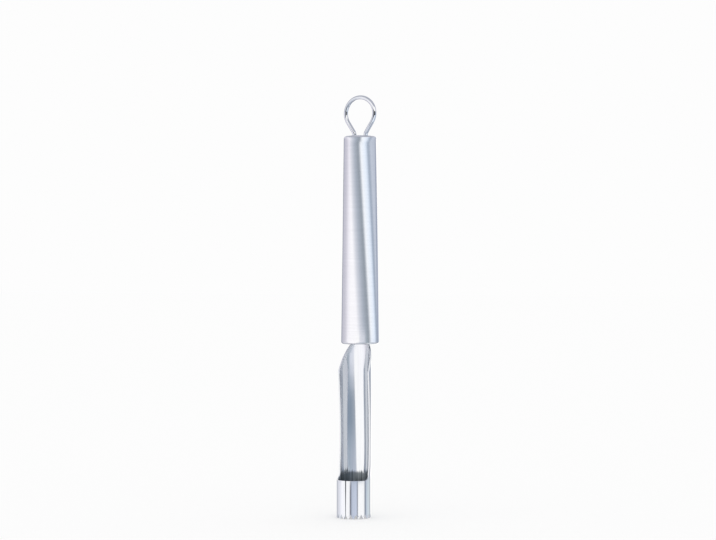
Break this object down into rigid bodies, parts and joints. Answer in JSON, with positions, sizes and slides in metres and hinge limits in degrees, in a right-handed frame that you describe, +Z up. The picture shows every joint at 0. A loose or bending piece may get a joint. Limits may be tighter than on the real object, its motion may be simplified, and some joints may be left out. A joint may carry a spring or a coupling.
{
  "type": "apple corer",
  "caption": "Hand corer with a hollow tapered steel handle, a wire hanging loop, and a trough-shaped sheet blade that ends in a toothed ring.",
  "frame": {"origin": "inside of the hanging loop's crown, where it bears on a hook", "axes": "+Z up along the tool, from the toothed ring to the loop; -Y the way the blade's trough opens; X across, the plane of symmetry being X = 0"},
  "size_m": [0.0196, 0.0256, 0.2186],
  "materials": {
    "satin_steel": "satin stainless steel, turned grain round the handle",
    "bright_steel": "polished stainless steel sheet",
    "bright_wire": "polished stainless steel wire",
    "moulding": "natural moulded plastic, out of sight"
  },
  "bodies": {
    "root": {"handle_tube": "satin_steel", "tail_cap": "satin_steel", "hanging_loop": "bright_wire", "tail_plug": "moulding", "front_cap": "satin_steel", "blade": "bright_steel", "tang_plug_front": "moulding", "tang_plug_back": "moulding"}
  },
  "joints": []
}
